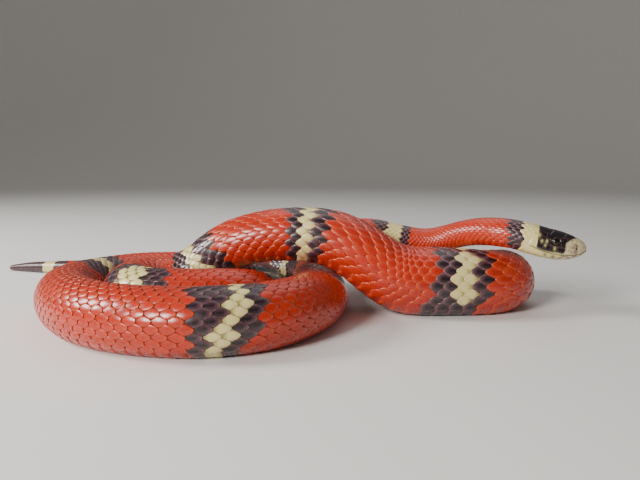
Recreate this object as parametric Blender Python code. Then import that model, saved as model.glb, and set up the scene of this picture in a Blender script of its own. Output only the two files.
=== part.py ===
"""Milk snake at life size, lying in a loose coil with its neck laid over its own back.

The body is one tube of changing section that follows a route over the floor, cut into lengths that
stand 0.3 mm apart. All sizes are in metres. The head points to +X and +Z is up.
"""

import math

import bmesh
import bpy
import numpy as np

MM = 0.001

# The animal
GIRTH = 23.5 * MM  # height of the body where it lies nearest the viewer
HEAD_LENGTH = 30.0 * MM
TAIL_LENGTH = 140.0 * MM
NECK_LENGTH = 100.0 * MM
GAP = 0.3 * MM  # between neighbouring pieces

# Cross section: an ellipse cut flat below, which gives the belly its resting strip
BELLY = 0.86  # depth of the flat below the middle, as a share of the half height
HEIGHT_TO_WIDTH = 0.99

# Half widths in girths along the body, by share of the whole length from the snout
BODY_PROFILE = (
    (0.000, 0.250),
    (0.030, 0.283),
    (0.050, 0.268),
    (0.090, 0.270),
    (0.130, 0.330),
    (0.170, 0.450),
    (0.200, 0.560),
    (0.220, 0.605),
    (0.240, 0.645),
    (0.265, 0.640),
    (0.290, 0.560),
    (0.330, 0.495),
    (0.360, 0.475),
    (0.400, 0.500),
    (0.440, 0.515),
    (0.470, 0.500),
    (0.510, 0.450),
    (0.570, 0.455),
    (0.610, 0.500),
    (0.700, 0.525),
    (0.755, 0.505),
    (0.800, 0.445),
    (0.850, 0.370),
    (0.900, 0.290),
    (0.950, 0.200),
    (0.985, 0.135),
    (1.000, 0.075),
)

# Middle of the waypoints' plan, which becomes the origin
PLAN_CENTRE = np.array((-1.157, 1.696)) * MM
ON_THE_FLOOR = 1.0 * MM  # a belly lower than this bears on the floor

# Two lengths bear the arch of the body that crosses them, and are pressed a little flat there
PRESSED_AT = ((12.0 * MM, -5.0 * MM), (39.0 * MM, -11.0 * MM))
PRESSED_REACH = 16.0 * MM
PRESSED_FLATTER = 0.25
PRESSED_WIDER = 0.05

# Facets
SIDES = 20
RING_STEP = 4.2 * MM
TIP_LENGTH = 1.0 * MM
ROUTE_STEP = 0.5 * MM
ROUTE_SOFTNESS = 4.2 * MM

# A piece ends where its share of this length and its share of this turn add up to the effort
PIECE_LENGTH = 75.0 * MM
PIECE_TURN = math.radians(85)
EFFORT_PER_PIECE = 1.45

# Head, by distance behind the snout: half width, whole height, drop of the mouth line below middle
HEAD_PROFILE = (
    (0.5, 1.7, 3.0, 0.9),
    (1.3, 2.9, 5.0, 1.4),
    (2.6, 3.9, 6.8, 2.0),
    (4.2, 4.7, 8.3, 2.5),
    (6.4, 5.4, 9.8, 2.9),
    (9.0, 6.0, 11.1, 3.2),
    (12.4, 6.5, 11.9, 3.3),
    (16.0, 7.0, 12.1, 3.1),
    (20.0, 7.4, 12.3, 2.6),
    (24.0, 7.3, 12.3, 1.5),
    (27.0, 6.9, 12.1, 0.6),
)
HEAD_SQUARENESS = 2.35
HEAD_SIDES = 13  # points from one corner of the mouth line over the crown to the other
JAW_SIDES = 7
MOUTH_LENGTH = 23.0 * MM
MOUTH_DEPTH = 0.45 * MM
MOUTH_HALF_WIDTH = 0.35 * MM
MOUTH_FADE = 3.0 * MM  # over which the groove of the mouth shallows towards its corners and the snout
JAW_NARROWER = 0.05  # the upper lip stands out over the lower one by this share
WIDEST_LIP = 0.3  # of the ring's circle, in radians
SNOUT_ROUNDNESS = 0.6  # how far the foremost point stands before the first section

EYE_BACK = 13.2 * MM
EYE_RISE = 2.0 * MM
EYE_RADIUS = 1.95 * MM
EYE_SUNK = 1.2 * MM
NOSTRIL_BACK = 4.4 * MM
NOSTRIL_RISE = 0.1 * MM
NOSTRIL_RADIUS = 0.45 * MM

RED = (0.62, 0.11, 0.035, 1)
BLACK = (0.022, 0.018, 0.022, 1)
DARK = (0.012, 0.010, 0.012, 1)


def bend(centre, radii, start, end, count, lift):
    """Points on an elliptic turn, in millimetres; lift changes evenly along it."""
    angle = np.radians(np.linspace(start, end, count))
    rise = np.linspace(lift[0], lift[1], count)
    return np.stack(
        (centre[0] + radii[0] * np.cos(angle), centre[1] + radii[1] * np.sin(angle), rise), 1
    )


def waypoints():
    """The belly's way from snout to tail tip: x, y and height over the floor, in millimetres."""
    head_and_neck = (
        (143.0, -24.5, 23.4),
        (130.0, -21.5, 24.4),
        (119.0, -18.5, 27.1),
        (112.5, -16.2, 28.5),
        (107.0, -11.6, 28.4),
        (100.0, -3.8, 26.4),
        (92.0, 2.0, 23.0),
        (84.0, 4.4, 21.8),
        (69.5, 7.4, 24.2),
    )
    first_limb = ((77.0, 32.5, 6.0), (95.0, 26.5, 0.0))
    over_the_coil = (
        (91.5, -13.0, 0.0),
        (75.5, -13.2, 0.2),
        (65.5, -12.0, 2.6),
        (55.5, -10.2, 9.0),
        (48.5, -8.6, 15.2),
        (40.5, -6.6, 19.6),
        (28.0, -4.8, 21.0),
        (17.0, -3.9, 20.8),
        (3.0, -2.4, 17.5),
        (-11.0, 0.0, 7.6),
    )
    inner_limb = ((-7.0, -32.0, 0.0), (6.4, -28.2, 0.0), (12.2, -12.8, 0.0), (10.4, 5.0, 0.0))
    far_limb = ((-1.0, 19.0, 0.0), (-18.8, 23.8, 0.0))
    left_turn = ((-46.0, 24.4, 0.0), (-62.2, 9.2, 0.0), (-65.9, -19.0, 0.0), (-49.4, -47.4, 0.0))
    front_limb = ((-28.2, -61.0, 0.0), (0.0, -65.3, 0.0), (21.6, -56.0, 0.0), (34.4, -36.8, 0.0))
    under_the_arch = ((37.6, -14.0, 0.0), (36.4, 9.8, 0.0), (28.8, 30.4, 0.0), (11.3, 42.0, 0.0))
    tail = (
        (-18.8, 45.6, 0.0),
        (-50.0, 47.6, 0.0),
        (-80.0, 56.6, 0.0),
        (-103.5, 66.9, 0.0),
        (-145.5, 79.5, 0.0),
    )
    return np.concatenate(
        [
            head_and_neck,
            bend((64.5, 19.5), (11.0, 11.8), 245, 110, 3, (26.2, 18.3)),
            first_limb,
            bend((104.6, 3.8), (15.2, 15.8), 72, -82, 6, (0.0, 0.0)),
            over_the_coil,
            bend((-25.6, -16.0), (15.0, 15.3), 88, 272, 5, (1.4, 0.3)),
            inner_limb,
            far_limb,
            left_turn,
            front_limb,
            under_the_arch,
            tail,
        ]
    ) * MM


def through(points, samples=40):
    """A curve through all points: each stretch blends the two straight lines that meet at its ends."""
    points = np.vstack((2 * points[0] - points[1], points, 2 * points[-1] - points[-2]))
    gaps = np.sqrt(np.linalg.norm(np.diff(points, axis=0), axis=1))
    knots = np.concatenate(((0.0,), np.cumsum(gaps)))
    curve = []
    for i in range(1, len(points) - 2):
        t = np.linspace(knots[i], knots[i + 1], samples, endpoint=False)[:, None]
        k0, k1, k2, k3 = knots[i - 1 : i + 3]
        p0, p1, p2, p3 = points[i - 1 : i + 3]
        a1 = ((k1 - t) * p0 + (t - k0) * p1) / (k1 - k0)
        a2 = ((k2 - t) * p1 + (t - k1) * p2) / (k2 - k1)
        a3 = ((k3 - t) * p2 + (t - k2) * p3) / (k3 - k2)
        b1 = ((k2 - t) * a1 + (t - k0) * a2) / (k2 - k0)
        b2 = ((k3 - t) * a2 + (t - k1) * a3) / (k3 - k1)
        curve.append(((k2 - t) * b1 + (t - k1) * b2) / (k2 - k1))
    return np.vstack((*curve, points[-2][None]))


def evenly(curve, step):
    """The same curve with its points an even distance apart, and those distances from its start."""
    along = np.concatenate(((0.0,), np.cumsum(np.linalg.norm(np.diff(curve, axis=0), axis=1))))
    places = np.linspace(0.0, along[-1], int(round(along[-1] / step)) + 1)
    return places, np.stack([np.interp(places, along, c) for c in curve.T], 1)


def softened(values, softness, step):
    """Each column averaged with its neighbours, weighted by a bell curve; the ends stay put."""
    reach = int(3 * softness / step)
    weights = np.exp(-0.5 * (np.arange(-reach, reach + 1) * step / softness) ** 2)
    weights /= weights.sum()
    before = 2 * values[0] - values[reach:0:-1]
    after = 2 * values[-1] - values[-2 : -reach - 2 : -1]
    padded = np.concatenate((before, values, after))
    return np.stack([np.convolve(c, weights, "valid") for c in padded.T], 1)


class Body:
    """The route with the size and direction of the section at each of its points."""

    def __init__(self):
        _, curve = evenly(through(waypoints()), ROUTE_STEP)
        curve[:, 2] = np.maximum(curve[:, 2], 0.0)
        self.along, curve = evenly(softened(curve, ROUTE_SOFTNESS, ROUTE_STEP), ROUTE_STEP)
        self.length = self.along[-1]
        share, width = np.array(BODY_PROFILE).T
        half = GIRTH * np.interp(self.along / self.length, share, width)[:, None]
        self.half_width = softened(half, ROUTE_SOFTNESS, ROUTE_STEP)[:, 0]
        self.half_height = self.half_width * HEIGHT_TO_WIDTH
        for x, y in PRESSED_AT:
            away = ((curve[:, 0] - x) ** 2 + (curve[:, 1] - y) ** 2) / PRESSED_REACH**2
            pressed = np.exp(-away) * (curve[:, 2] < ON_THE_FLOOR)
            self.half_height = self.half_height * (1 - PRESSED_FLATTER * pressed)
            self.half_width = self.half_width * (1 + PRESSED_WIDER * pressed)
        ahead = np.gradient(curve, axis=0)
        self.ahead = ahead / np.linalg.norm(ahead, axis=1)[:, None]
        side = np.cross((0.0, 0.0, 1.0), self.ahead)
        self.side = side / np.linalg.norm(side, axis=1)[:, None]
        self.up = np.cross(self.ahead, self.side)
        self.middle = curve + self.up * (BELLY * self.half_height)[:, None]
        self.middle[:, :2] -= PLAN_CENTRE

    def at(self, place):
        """Middle, side, up, half width and half height at a distance from the snout."""
        row = place / self.length * (len(self.along) - 1)
        i = min(int(row), len(self.along) - 2)
        t = row - i
        columns = (self.middle, self.side, self.up, self.half_width, self.half_height)
        return [(1 - t) * values[i] + t * values[i + 1] for values in columns]

    def ring(self, place):
        """The outline of the section there, as SIDES points, the belly cut flat."""
        middle, side, up, half_width, half_height = self.at(place)
        angle = np.linspace(0, 2 * math.pi, SIDES, endpoint=False)
        across = half_width * np.cos(angle)
        rise = half_height * np.maximum(np.sin(angle), -BELLY)
        ring = middle + across[:, None] * side + rise[:, None] * up
        ring[:, 2] = np.maximum(ring[:, 2], 0.0)
        return ring

    def cuts(self, start, end):
        """Where to part the body between two places, by length and by how far it turns."""
        heading = np.unwrap(np.arctan2(self.ahead[:, 1], self.ahead[:, 0]))
        turned = np.concatenate(((0.0,), np.cumsum(np.abs(np.diff(heading)))))
        inside = (self.along >= start) & (self.along <= end)
        along, turned = self.along[inside], turned[inside] - turned[inside][0]
        effort = (along - start) / PIECE_LENGTH + turned / PIECE_TURN
        count = math.ceil(effort[-1] / EFFORT_PER_PIECE)
        return np.interp(np.linspace(0, effort[-1], count + 1), effort, along)


def material(name, colour, roughness):
    made = bpy.data.materials.new(name)
    made.use_nodes = True
    shader = made.node_tree.nodes["Principled BSDF"]
    shader.inputs["Base Color"].default_value = colour
    shader.inputs["Roughness"].default_value = roughness
    shader.inputs["Metallic"].default_value = 0.0
    return made


def placed(name, mesh, look, collection):
    made = bpy.data.objects.new(name, mesh)
    mesh.materials.append(look)
    mesh.shade_smooth()
    collection.objects.link(made)
    return made


def loft(name, rings, front=None, back=None):
    """A closed skin over rings of as many points, ended by flat faces or by the points given."""
    made = bmesh.new()
    rows = [[made.verts.new(p) for p in ring] for ring in rings]
    count = len(rows[0])
    for row, following in zip(rows, rows[1:]):
        for j in range(count):
            k = (j + 1) % count
            made.faces.new((row[j], row[k], following[k], following[j]))
    for row, pole in ((rows[0], front), (rows[-1], back)):
        if pole is None:
            made.faces.new(row)
            continue
        tip = made.verts.new(pole)
        for j in range(count):
            made.faces.new((row[j], row[(j + 1) % count], tip))
    bmesh.ops.recalc_face_normals(made, faces=made.faces)
    mesh = bpy.data.meshes.new(name)
    made.to_mesh(mesh)
    made.free()
    return mesh


def body_piece(body, name, start, end, look, collection):
    """One length of the body, half a gap short at each end."""
    start += GAP / 2
    last = end >= body.length
    end = body.length - TIP_LENGTH if last else end - GAP / 2
    count = max(2, math.ceil((end - start) / RING_STEP) + 1)
    rings = [body.ring(place) for place in np.linspace(start, end, count)]
    tip = body.at(body.length)[0] if last else None
    return placed(name, loft(name, rings, back=tip), look, collection)


def head_section(body, back):
    """Middle of the head, its directions, and its sizes at a distance behind the snout."""
    middle, side, up, half_width, half_height = body.at(back)
    distance, width, height, drop = np.array(HEAD_PROFILE).T * MM
    neck_height = half_height * (1 + BELLY)
    distance = np.append(distance, HEAD_LENGTH)
    width = np.interp(back, distance, np.append(width, half_width))
    height = np.interp(back, distance, np.append(height, neck_height))
    drop = np.interp(back, distance, np.append(drop, 0.0))
    half_neck = neck_height / 2
    centre = middle + up * (half_height - half_neck)
    return centre, side, up, width, height, drop


def head_ring(body, back):
    """Crown from one end of the mouth line to the other, then the jaw back again."""
    centre, side, up, width, height, drop = head_section(body, back)
    neck = np.clip((back - MOUTH_LENGTH) / (HEAD_LENGTH - MOUTH_LENGTH), 0, 1)
    power = 2 / (HEAD_SQUARENESS + (2 - HEAD_SQUARENESS) * neck)
    corner = np.clip((MOUTH_LENGTH - back) / MOUTH_FADE, 0, 1)
    groove = MOUTH_DEPTH * corner * min(1, width / MOUTH_FADE)
    lip = min(2 * MOUTH_HALF_WIDTH / height, WIDEST_LIP)
    crown = np.linspace(lip, math.pi - lip, HEAD_SIDES)
    jaw = np.linspace(math.pi + lip, 2 * math.pi - lip, JAW_SIDES)
    angle = np.concatenate(((0.0,), crown, (math.pi,), jaw))
    c, s = np.cos(angle), np.sin(angle)
    above, below = height / 2 + drop, height / 2 - drop
    reach = np.full(len(angle), width)
    reach[[0, HEAD_SIDES + 1]] -= groove
    reach[HEAD_SIDES + 2 :] *= 1 - JAW_NARROWER * (1 - neck)
    across = reach * np.sign(c) * np.abs(c) ** power
    lower = np.maximum(s, -BELLY - (1 - BELLY) * (1 - neck))
    rise = np.where(s >= 0, above * np.abs(s) ** power, below * lower) - drop
    return centre + across[:, None] * side + rise[:, None] * up


def eye_place(body, sign, sunk):
    """A point below the head's surface at the eye, and the way the eye looks."""
    centre, side, up, width, height, drop = head_section(body, EYE_BACK)
    share = (EYE_RISE + drop) / (height / 2 + drop)
    across = width * (1 - share**HEAD_SQUARENESS) ** (1 / HEAD_SQUARENESS)
    return centre + side * sign * (across - sunk) + up * EYE_RISE


def sphere(name, centre, radius, segments=16, rings=8):
    made = bmesh.new()
    bmesh.ops.create_uvsphere(made, u_segments=segments, v_segments=rings, radius=radius)
    bmesh.ops.translate(made, verts=made.verts, vec=[float(v) for v in centre])
    mesh = bpy.data.meshes.new(name)
    made.to_mesh(mesh)
    made.free()
    return mesh


def cutter(name, mesh, collection):
    made = bpy.data.objects.new(name, mesh)
    made.hide_render = True
    made.display_type = "WIRE"
    collection.objects.link(made)
    return made


def head(body, looks, collection, cutters):
    """Head with its mouth line in the loft, and sockets and nostrils cut from it."""
    stations = [row[0] * MM for row in HEAD_PROFILE] + [HEAD_LENGTH - GAP / 2]
    between = [(a + b) / 2 for a, b in zip(stations[4:-1], stations[5:])]
    rings = [head_ring(body, back) for back in sorted(stations + between)]
    centre, side, up, _, _, drop = head_section(body, stations[0])
    snout = centre - up * drop + (body.at(0)[0] - centre) * SNOUT_ROUNDNESS
    made = placed("head", loft("head", rings, front=snout), looks["head"], collection)
    for sign, word in ((-1, "left"), (1, "right")):
        eye = eye_place(body, sign, EYE_SUNK)
        placed("eye_" + word, sphere("eye_" + word, eye, EYE_RADIUS), looks["eye"], collection)
        cutter("socket_" + word, sphere("socket_" + word, eye, EYE_RADIUS + GAP), cutters)
        middle, side, up, width, _, _ = head_section(body, NOSTRIL_BACK)
        nostril = middle + side * sign * (width - NOSTRIL_RADIUS / 2) + up * NOSTRIL_RISE
        hole = sphere("nostril_" + word, nostril, NOSTRIL_RADIUS, 10, 6)
        cutter("nostril_" + word, hole, cutters)
    cut = made.modifiers.new("sockets and nostrils", "BOOLEAN")
    cut.operation = "DIFFERENCE"
    cut.operand_type = "COLLECTION"
    cut.collection = cutters
    return made


def main():
    for thing in list(bpy.data.objects):
        bpy.data.objects.remove(thing)
    collection = bpy.data.collections.new("milk_snake")
    cutters = bpy.data.collections.new("cutters")
    for each in (collection, cutters):
        bpy.context.scene.collection.children.link(each)
    looks = {
        "skin": material("red_scales", RED, 0.32),
        "head": material("black_head", BLACK, 0.28),
        "tail": material("dark_tail", BLACK, 0.35),
        "eye": material("eye", DARK, 0.08),
    }
    body = Body()
    head(body, looks, collection, cutters)
    neck_end = HEAD_LENGTH + NECK_LENGTH
    tail_start = body.length - TAIL_LENGTH
    stretches = (
        ("neck_", HEAD_LENGTH, neck_end, "skin"),
        ("torso_", neck_end, tail_start, "skin"),
        ("tail_", tail_start, body.length, "tail"),
    )
    for word, start, end, look in stretches:
        ends = body.cuts(start, end)
        for number, (a, b) in enumerate(zip(ends, ends[1:]), 1):
            body_piece(body, f"{word}{number:02d}", a, b, looks[look], collection)


main()
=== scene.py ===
"""Milk snake at life size, lying in a loose coil with its neck laid over its own back.

One skin runs over the whole animal, from the shields of the head to the tip of the tail.
Overlapping scales and belly plates lie over it, row by row, and the eyes stand in it. Sizes are in
metres where nothing else is said, in the frame of the solids: the head points to +X, the viewer
stands at -Y and +Z is up.
"""

import math
from functools import partial

import bpy
import numpy as np
from bpy.props import FloatProperty, FloatVectorProperty, IntProperty, PointerProperty
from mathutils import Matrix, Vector


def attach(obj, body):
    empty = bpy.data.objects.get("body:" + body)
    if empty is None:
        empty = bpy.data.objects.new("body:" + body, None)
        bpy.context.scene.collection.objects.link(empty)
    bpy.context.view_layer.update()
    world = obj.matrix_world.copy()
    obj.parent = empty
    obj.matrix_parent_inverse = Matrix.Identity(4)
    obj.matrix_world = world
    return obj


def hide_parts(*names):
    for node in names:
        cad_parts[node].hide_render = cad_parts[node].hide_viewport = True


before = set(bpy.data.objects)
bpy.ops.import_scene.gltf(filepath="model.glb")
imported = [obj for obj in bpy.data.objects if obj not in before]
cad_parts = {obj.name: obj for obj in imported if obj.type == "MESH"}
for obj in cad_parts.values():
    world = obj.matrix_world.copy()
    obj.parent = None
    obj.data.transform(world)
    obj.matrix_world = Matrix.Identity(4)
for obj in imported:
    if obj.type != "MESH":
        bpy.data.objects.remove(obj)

bl_info = {
    "name": "Milk Snake",
    "version": (1, 0, 0),
    "blender": (4, 5, 0),
    "location": "View3D > Sidebar > Milk Snake",
    "description": "Builds a life-size milk snake with its scales, eyes and a plain studio",
    "category": "Add Mesh",
}

MM = 0.001

# The body's way and section, as in the solids
GIRTH = 23.5 * MM
HEAD_LENGTH = 30.0 * MM
TAIL_LENGTH = 140.0 * MM
BELLY = 0.86  # the belly is cut flat at this share of the half height below the middle
BELLY_CORNER = 0.025
HEIGHT_TO_WIDTH = 0.99
TIP_ROUND = 3.0 * MM
PLAN_CENTRE = np.array((-1.157, 1.696)) * MM
ON_THE_FLOOR = 1.0 * MM
ROUTE_STEP = 0.5 * MM
ROUTE_SOFTNESS = 4.2 * MM

# Two places where the length above lies heavy on the body, and how it gives way there
PRESSED_AT = ((12.0 * MM, -5.0 * MM), (39.0 * MM, -11.0 * MM))
PRESSED_REACH = 16.0 * MM
PRESSED_FLATTER = 0.25
PRESSED_WIDER = 0.05

# Share of the way from snout to tail tip, and half width there as a share of the girth
BODY_PROFILE = (
    (0.000, 0.250), (0.030, 0.283), (0.050, 0.268), (0.090, 0.270), (0.130, 0.330),
    (0.170, 0.450), (0.200, 0.560), (0.220, 0.605), (0.240, 0.645), (0.265, 0.640),
    (0.290, 0.560), (0.330, 0.495), (0.360, 0.475), (0.400, 0.500), (0.440, 0.515),
    (0.470, 0.500), (0.510, 0.450), (0.570, 0.455), (0.610, 0.500), (0.700, 0.525),
    (0.755, 0.505), (0.800, 0.445), (0.850, 0.370), (0.900, 0.290), (0.950, 0.200),
    (0.985, 0.135), (1.000, 0.075),
)

# The head, in millimetres: distance behind the snout, half width, whole height, and how far the
# mouth line lies below the middle
HEAD_PROFILE = (
    (0.0, 0.0, 0.0, 0.6), (0.5, 1.7, 3.0, 0.9), (1.3, 2.9, 5.0, 1.4), (2.6, 3.9, 6.8, 2.0),
    (4.2, 4.7, 8.3, 2.5), (6.4, 5.4, 9.8, 2.9), (9.0, 6.0, 11.1, 3.2), (12.4, 6.5, 11.9, 3.3),
    (16.0, 7.0, 12.1, 3.1), (20.0, 7.4, 12.3, 2.6), (24.0, 7.3, 12.3, 1.5), (27.0, 6.9, 12.1, 0.6),
)
HEAD_SQUARENESS = 2.35
HEAD_ROUND = 6.3  # millimetres that stand for a whole radian round the head
HEAD_COAT = (0.4, 0.8)  # shares of the coat's depth taken off the head's width and height
JAW_NARROWER = 0.05
JAW_ONSET = 6  # how fast the jaw grows narrower below the mouth line
MOUTH_LOWEST = 0.42  # share of the head's height
MOUTH_LENGTH = 23.0 * MM
HEAD_TO_NECK = (25.0 * MM, 33.0 * MM)  # where the head's section passes into the body's
EYE_BACK = 13.2 * MM
EYE_RISE = 2.0 * MM
EYE_RADIUS = 2.1 * MM
EYE_SUNK = 1.2 * MM
EYE_BULGE, BULGE_REACH = 0.03, 0.5  # of the clear shield: share of the radius, and radians
HALF_HEIGHT_AT_EYE = 5.95 * MM
MOUTH_DROP_AT_EYE = 3.3 * MM
NOSTRIL_BACK = 4.4 * MM
NOSTRIL_TURN = math.radians(70)

# Rings, in millimetres from the snout along the back: where the black starts, the cream starts and
# ends and the black ends; then how much further tailward each of the four lies on the sides, and
# the angle from the back, in degrees, where the cream gives way to black
LEVEL = (0.0, 0.0, 0.0, 0.0)
OPEN = 200
RINGS = (
    ((19.0, 19.0, 26.0, 31.2), (0.0, 0.0, -0.4, -1.2), OPEN),
    ((75.5, 79.8, 86.8, 91.0), (0.5, 0.5, 0.5, 0.5), OPEN),
    ((143.0, 149.5, 156.5, 163.5), (0.0, 0.0, 1.0, 1.0), OPEN),
    ((216.4, 223.2, 228.6, 238.0), (3.2, 1.4, 3.8, 3.7), 117),
    ((289.6, 294.6, 299.8, 305.6), (0.6, 0.2, 0.0, -1.6), OPEN),
    ((330.0, 338.0, 345.5, 353.5), (-2.0, -3.0, -3.0, 0.0), OPEN),
    ((386.5, 393.2, 402.2, 410.5), (4.0, 5.5, 5.0, 3.0), OPEN),
    ((446.5, 456.5, 461.5, 469.5), LEVEL, OPEN),
    ((552.0, 560.0, 566.6, 576.0), LEVEL, OPEN),
    ((670.4, 681.6, 688.4, 693.6), (0.8, -4.4, -5.6, -5.6), OPEN),
    ((777.0, 792.0, 798.0, 806.0), LEVEL, OPEN),
    ((828.0, 834.5, 840.0, 846.5), LEVEL, OPEN),
    ((864.5, 870.5, 876.0, 882.0), LEVEL, OPEN),
    ((899.0, 905.0, 910.0, 916.0), LEVEL, OPEN),
    ((930.5, 939.0, 947.5, 990.0), LEVEL, OPEN),
)
EDGE_SOFT = 0.5 * MM
CLOSING_SOFT = math.radians(8)
CAP_END = 20.8 * MM  # the black cap of the head ends here on the crown
CAP_SHIFT = 0.6 * MM  # and this much nearer the snout on the sides

# Lower edge of the black on the cheek, by distance behind the snout: its angle from the crown. The
# tables of the head give their angles in degrees
CHEEK_AT = np.array((6.0, 9.0, 12.0, 15.0, 18.0, 21.0)) * MM
CHEEK_ANGLE = (84.0, 88.0, 86.0, 88.0, 89.0, 88.0)
CHEEK_SOFT = 5

# Rear edge of the pale snout, by angle from the crown: its distance behind the snout
SNOUT_ANGLE = (0.0, 24.0, 40.0, 60.0, 80.0, 100.0, 130.0)
SNOUT_AT = np.array((4.4, 4.6, 6.4, 8.8, 8.6, 11.0, 13.0)) * MM
SNOUT_SOFT = 1.2 * MM

# Painted highlights: pale glints painted into the black of the cheek, where its shields catch the
# light:
# millimetres behind the snout, angle from the crown and radius in millimetres
PAINTED_GLINTS = (
    (16.9, 65.0, 0.55), (18.8, 69.0, 0.55), (17.1, 76.0, 0.45), (13.2, 78.0, 0.55),
    (20.4, 54.0, 0.75),
)
PAINTED_GLINT_SHARE = 0.60

# Dark spots along the lips, likewise
LIP_SPOTS = (
    (13.2, 104.0, 0.80), (13.1, 116.0, 0.90), (13.0, 128.0, 0.80), (9.4, 88.0, 0.60),
    (16.3, 102.0, 0.70), (16.2, 114.0, 0.70), (6.2, 84.0, 0.35),
)
LIP_SPOT_SHARE = 0.85

# Seams between the head's shields on one side: distance behind the snout in millimetres and the
# angle from the crown in degrees, where 90 is the mouth line and 180 the middle of the chin
SEAMS = (
    ((2.2, 0), (1.9, 30), (1.7, 60), (2.1, 88)),
    ((2.2, 0), (8.3, 0)),
    ((1.9, 36), (4.6, 38), (8.9, 42), (10.6, 44)),
    ((4.6, 38), (4.9, 18), (4.7, 0)),
    ((8.3, 0), (8.7, 17), (9.3, 30), (10.6, 44)),
    ((8.7, 17), (12.2, 16), (14.4, 14), (16.2, 0)),
    ((14.4, 14), (15.4, 27), (15.9, 38)),
    ((16.2, 0), (22.0, 0)),
    ((15.9, 38), (18.8, 38), (21.6, 24), (22.8, 8), (22.0, 0)),
    ((15.9, 38), (16.0, 44)),
    ((1.8, 79), (4.0, 80), (6.4, 77), (8.4, 75), (11.2, 74), (13.2, 75), (15.8, 74), (17.4, 70),
     (20.2, 68), (22.8, 72), (23.4, 88)),
    ((6.3, 40), (6.0, 77)),
    ((8.5, 43), (8.3, 75)),
    ((10.9, 45), (10.8, 73)),
    ((4.4, 39), (4.4, 79)),
    ((17.3, 39), (17.2, 70)),
    ((15.6, 58), (17.3, 57)),
    ((17.3, 56), (20.4, 52), (24.0, 54)),
    ((20.4, 37), (20.3, 68)),
    ((4.0, 80), (4.0, 89)),
    ((6.4, 77), (6.5, 89)),
    ((9.0, 75), (9.1, 89)),
    ((11.9, 74), (12.0, 89)),
    ((14.9, 74), (14.9, 89)),
    ((17.9, 70), (18.0, 89)),
    ((20.8, 68), (20.9, 89)),
    ((1.6, 100), (3.0, 114), (8.0, 116), (14.0, 114), (20.0, 112), (23.4, 104)),
    ((3.0, 91), (3.0, 114)),
    ((5.0, 91), (5.0, 115)),
    ((7.2, 91), (7.4, 116)),
    ((9.8, 91), (10.0, 116)),
    ((13.0, 91), (13.2, 114)),
    ((16.6, 91), (16.8, 113)),
    ((20.0, 91), (20.2, 112)),
    ((2.6, 180), (16.0, 180)),
    ((3.0, 114), (2.6, 180)),
    ((5.2, 115), (8.6, 150), (8.8, 180)),
    ((10.0, 116), (14.6, 146), (16.0, 180)),
)


def waypoints():
    """The belly's way from snout to tail tip: x, y and height over the floor, in millimetres."""
    head_and_neck = (
        (143.0, -24.5, 23.4), (130.0, -21.5, 24.4), (119.0, -18.5, 27.1), (112.5, -16.2, 28.5),
        (107.0, -11.6, 28.4), (100.0, -3.8, 26.4), (92.0, 2.0, 23.0), (84.0, 4.4, 21.8),
        (69.5, 7.4, 24.2),
    )
    first_limb = ((77.0, 32.5, 6.0), (95.0, 26.5, 0.0))
    over_the_coil = (
        (91.5, -13.0, 0.0), (75.5, -13.2, 0.2), (65.5, -12.0, 2.6), (55.5, -10.2, 9.0),
        (48.5, -8.6, 15.2), (40.5, -6.6, 19.6), (28.0, -4.8, 21.0), (17.0, -3.9, 20.8),
        (3.0, -2.4, 17.5), (-11.0, 0.0, 7.6),
    )
    inner_limb = ((-7.0, -32.0, 0.0), (6.4, -28.2, 0.0), (12.2, -12.8, 0.0), (10.4, 5.0, 0.0))
    far_limb = ((-1.0, 19.0, 0.0), (-18.8, 23.8, 0.0))
    left_turn = ((-46.0, 24.4, 0.0), (-62.2, 9.2, 0.0), (-65.9, -19.0, 0.0), (-49.4, -47.4, 0.0))
    front_limb = ((-28.2, -61.0, 0.0), (0.0, -65.3, 0.0), (21.6, -56.0, 0.0), (34.4, -36.8, 0.0))
    under_the_arch = ((37.6, -14.0, 0.0), (36.4, 9.8, 0.0), (28.8, 30.4, 0.0), (11.3, 42.0, 0.0))
    tail = (
        (-18.8, 45.6, 0.0), (-50.0, 47.6, 0.0), (-80.0, 56.6, 0.0), (-103.5, 66.9, 0.0),
        (-145.5, 79.5, 0.0),
    )
    parts = (
        head_and_neck,
        bend((64.5, 19.5), (11.0, 11.8), 245, 110, 3, (26.2, 18.3)),
        first_limb,
        bend((104.6, 3.8), (15.2, 15.8), 72, -82, 6, (0.0, 0.0)),
        over_the_coil,
        bend((-25.6, -16.0), (15.0, 15.3), 88, 272, 5, (1.4, 0.3)),
        inner_limb, far_limb, left_turn, front_limb, under_the_arch, tail,
    )
    return np.concatenate(parts) * MM


def bend(centre, radii, start, end, count, lift):
    """Points on an elliptic turn, in millimetres, from one angle in degrees to another; the height
    changes evenly along it."""
    angle = np.radians(np.linspace(start, end, count))
    across, along = centre[0] + radii[0] * np.cos(angle), centre[1] + radii[1] * np.sin(angle)
    return np.stack((across, along, np.linspace(*lift, count)), 1)


def through(points, samples=40):
    """A curve through all points. In three rounds it blends straight lines through neighbours, by
    the share of the way between their knots; two knots are the root of the distance apart."""
    points = np.vstack((2 * points[0] - points[1], points, 2 * points[-1] - points[-2]))
    gaps = np.sqrt(np.linalg.norm(np.diff(points, axis=0), axis=1))
    knots = np.concatenate(((0.0,), np.cumsum(gaps)))
    rounds = (((0, 1), (1, 2), (2, 3)), ((0, 2), (1, 3)), ((1, 2),))
    curve = []
    for i in range(1, len(points) - 2):
        t = np.linspace(knots[i], knots[i + 1], samples, endpoint=False)[:, None]
        k, row = knots[i - 1 : i + 3], points[i - 1 : i + 3]
        for ends in rounds:
            row = [
                ((k[b] - t) * row[j] + (t - k[a]) * row[j + 1]) / (k[b] - k[a])
                for j, (a, b) in enumerate(ends)
            ]
        curve.append(row[0])
    return np.vstack((*curve, points[-2][None]))


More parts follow.
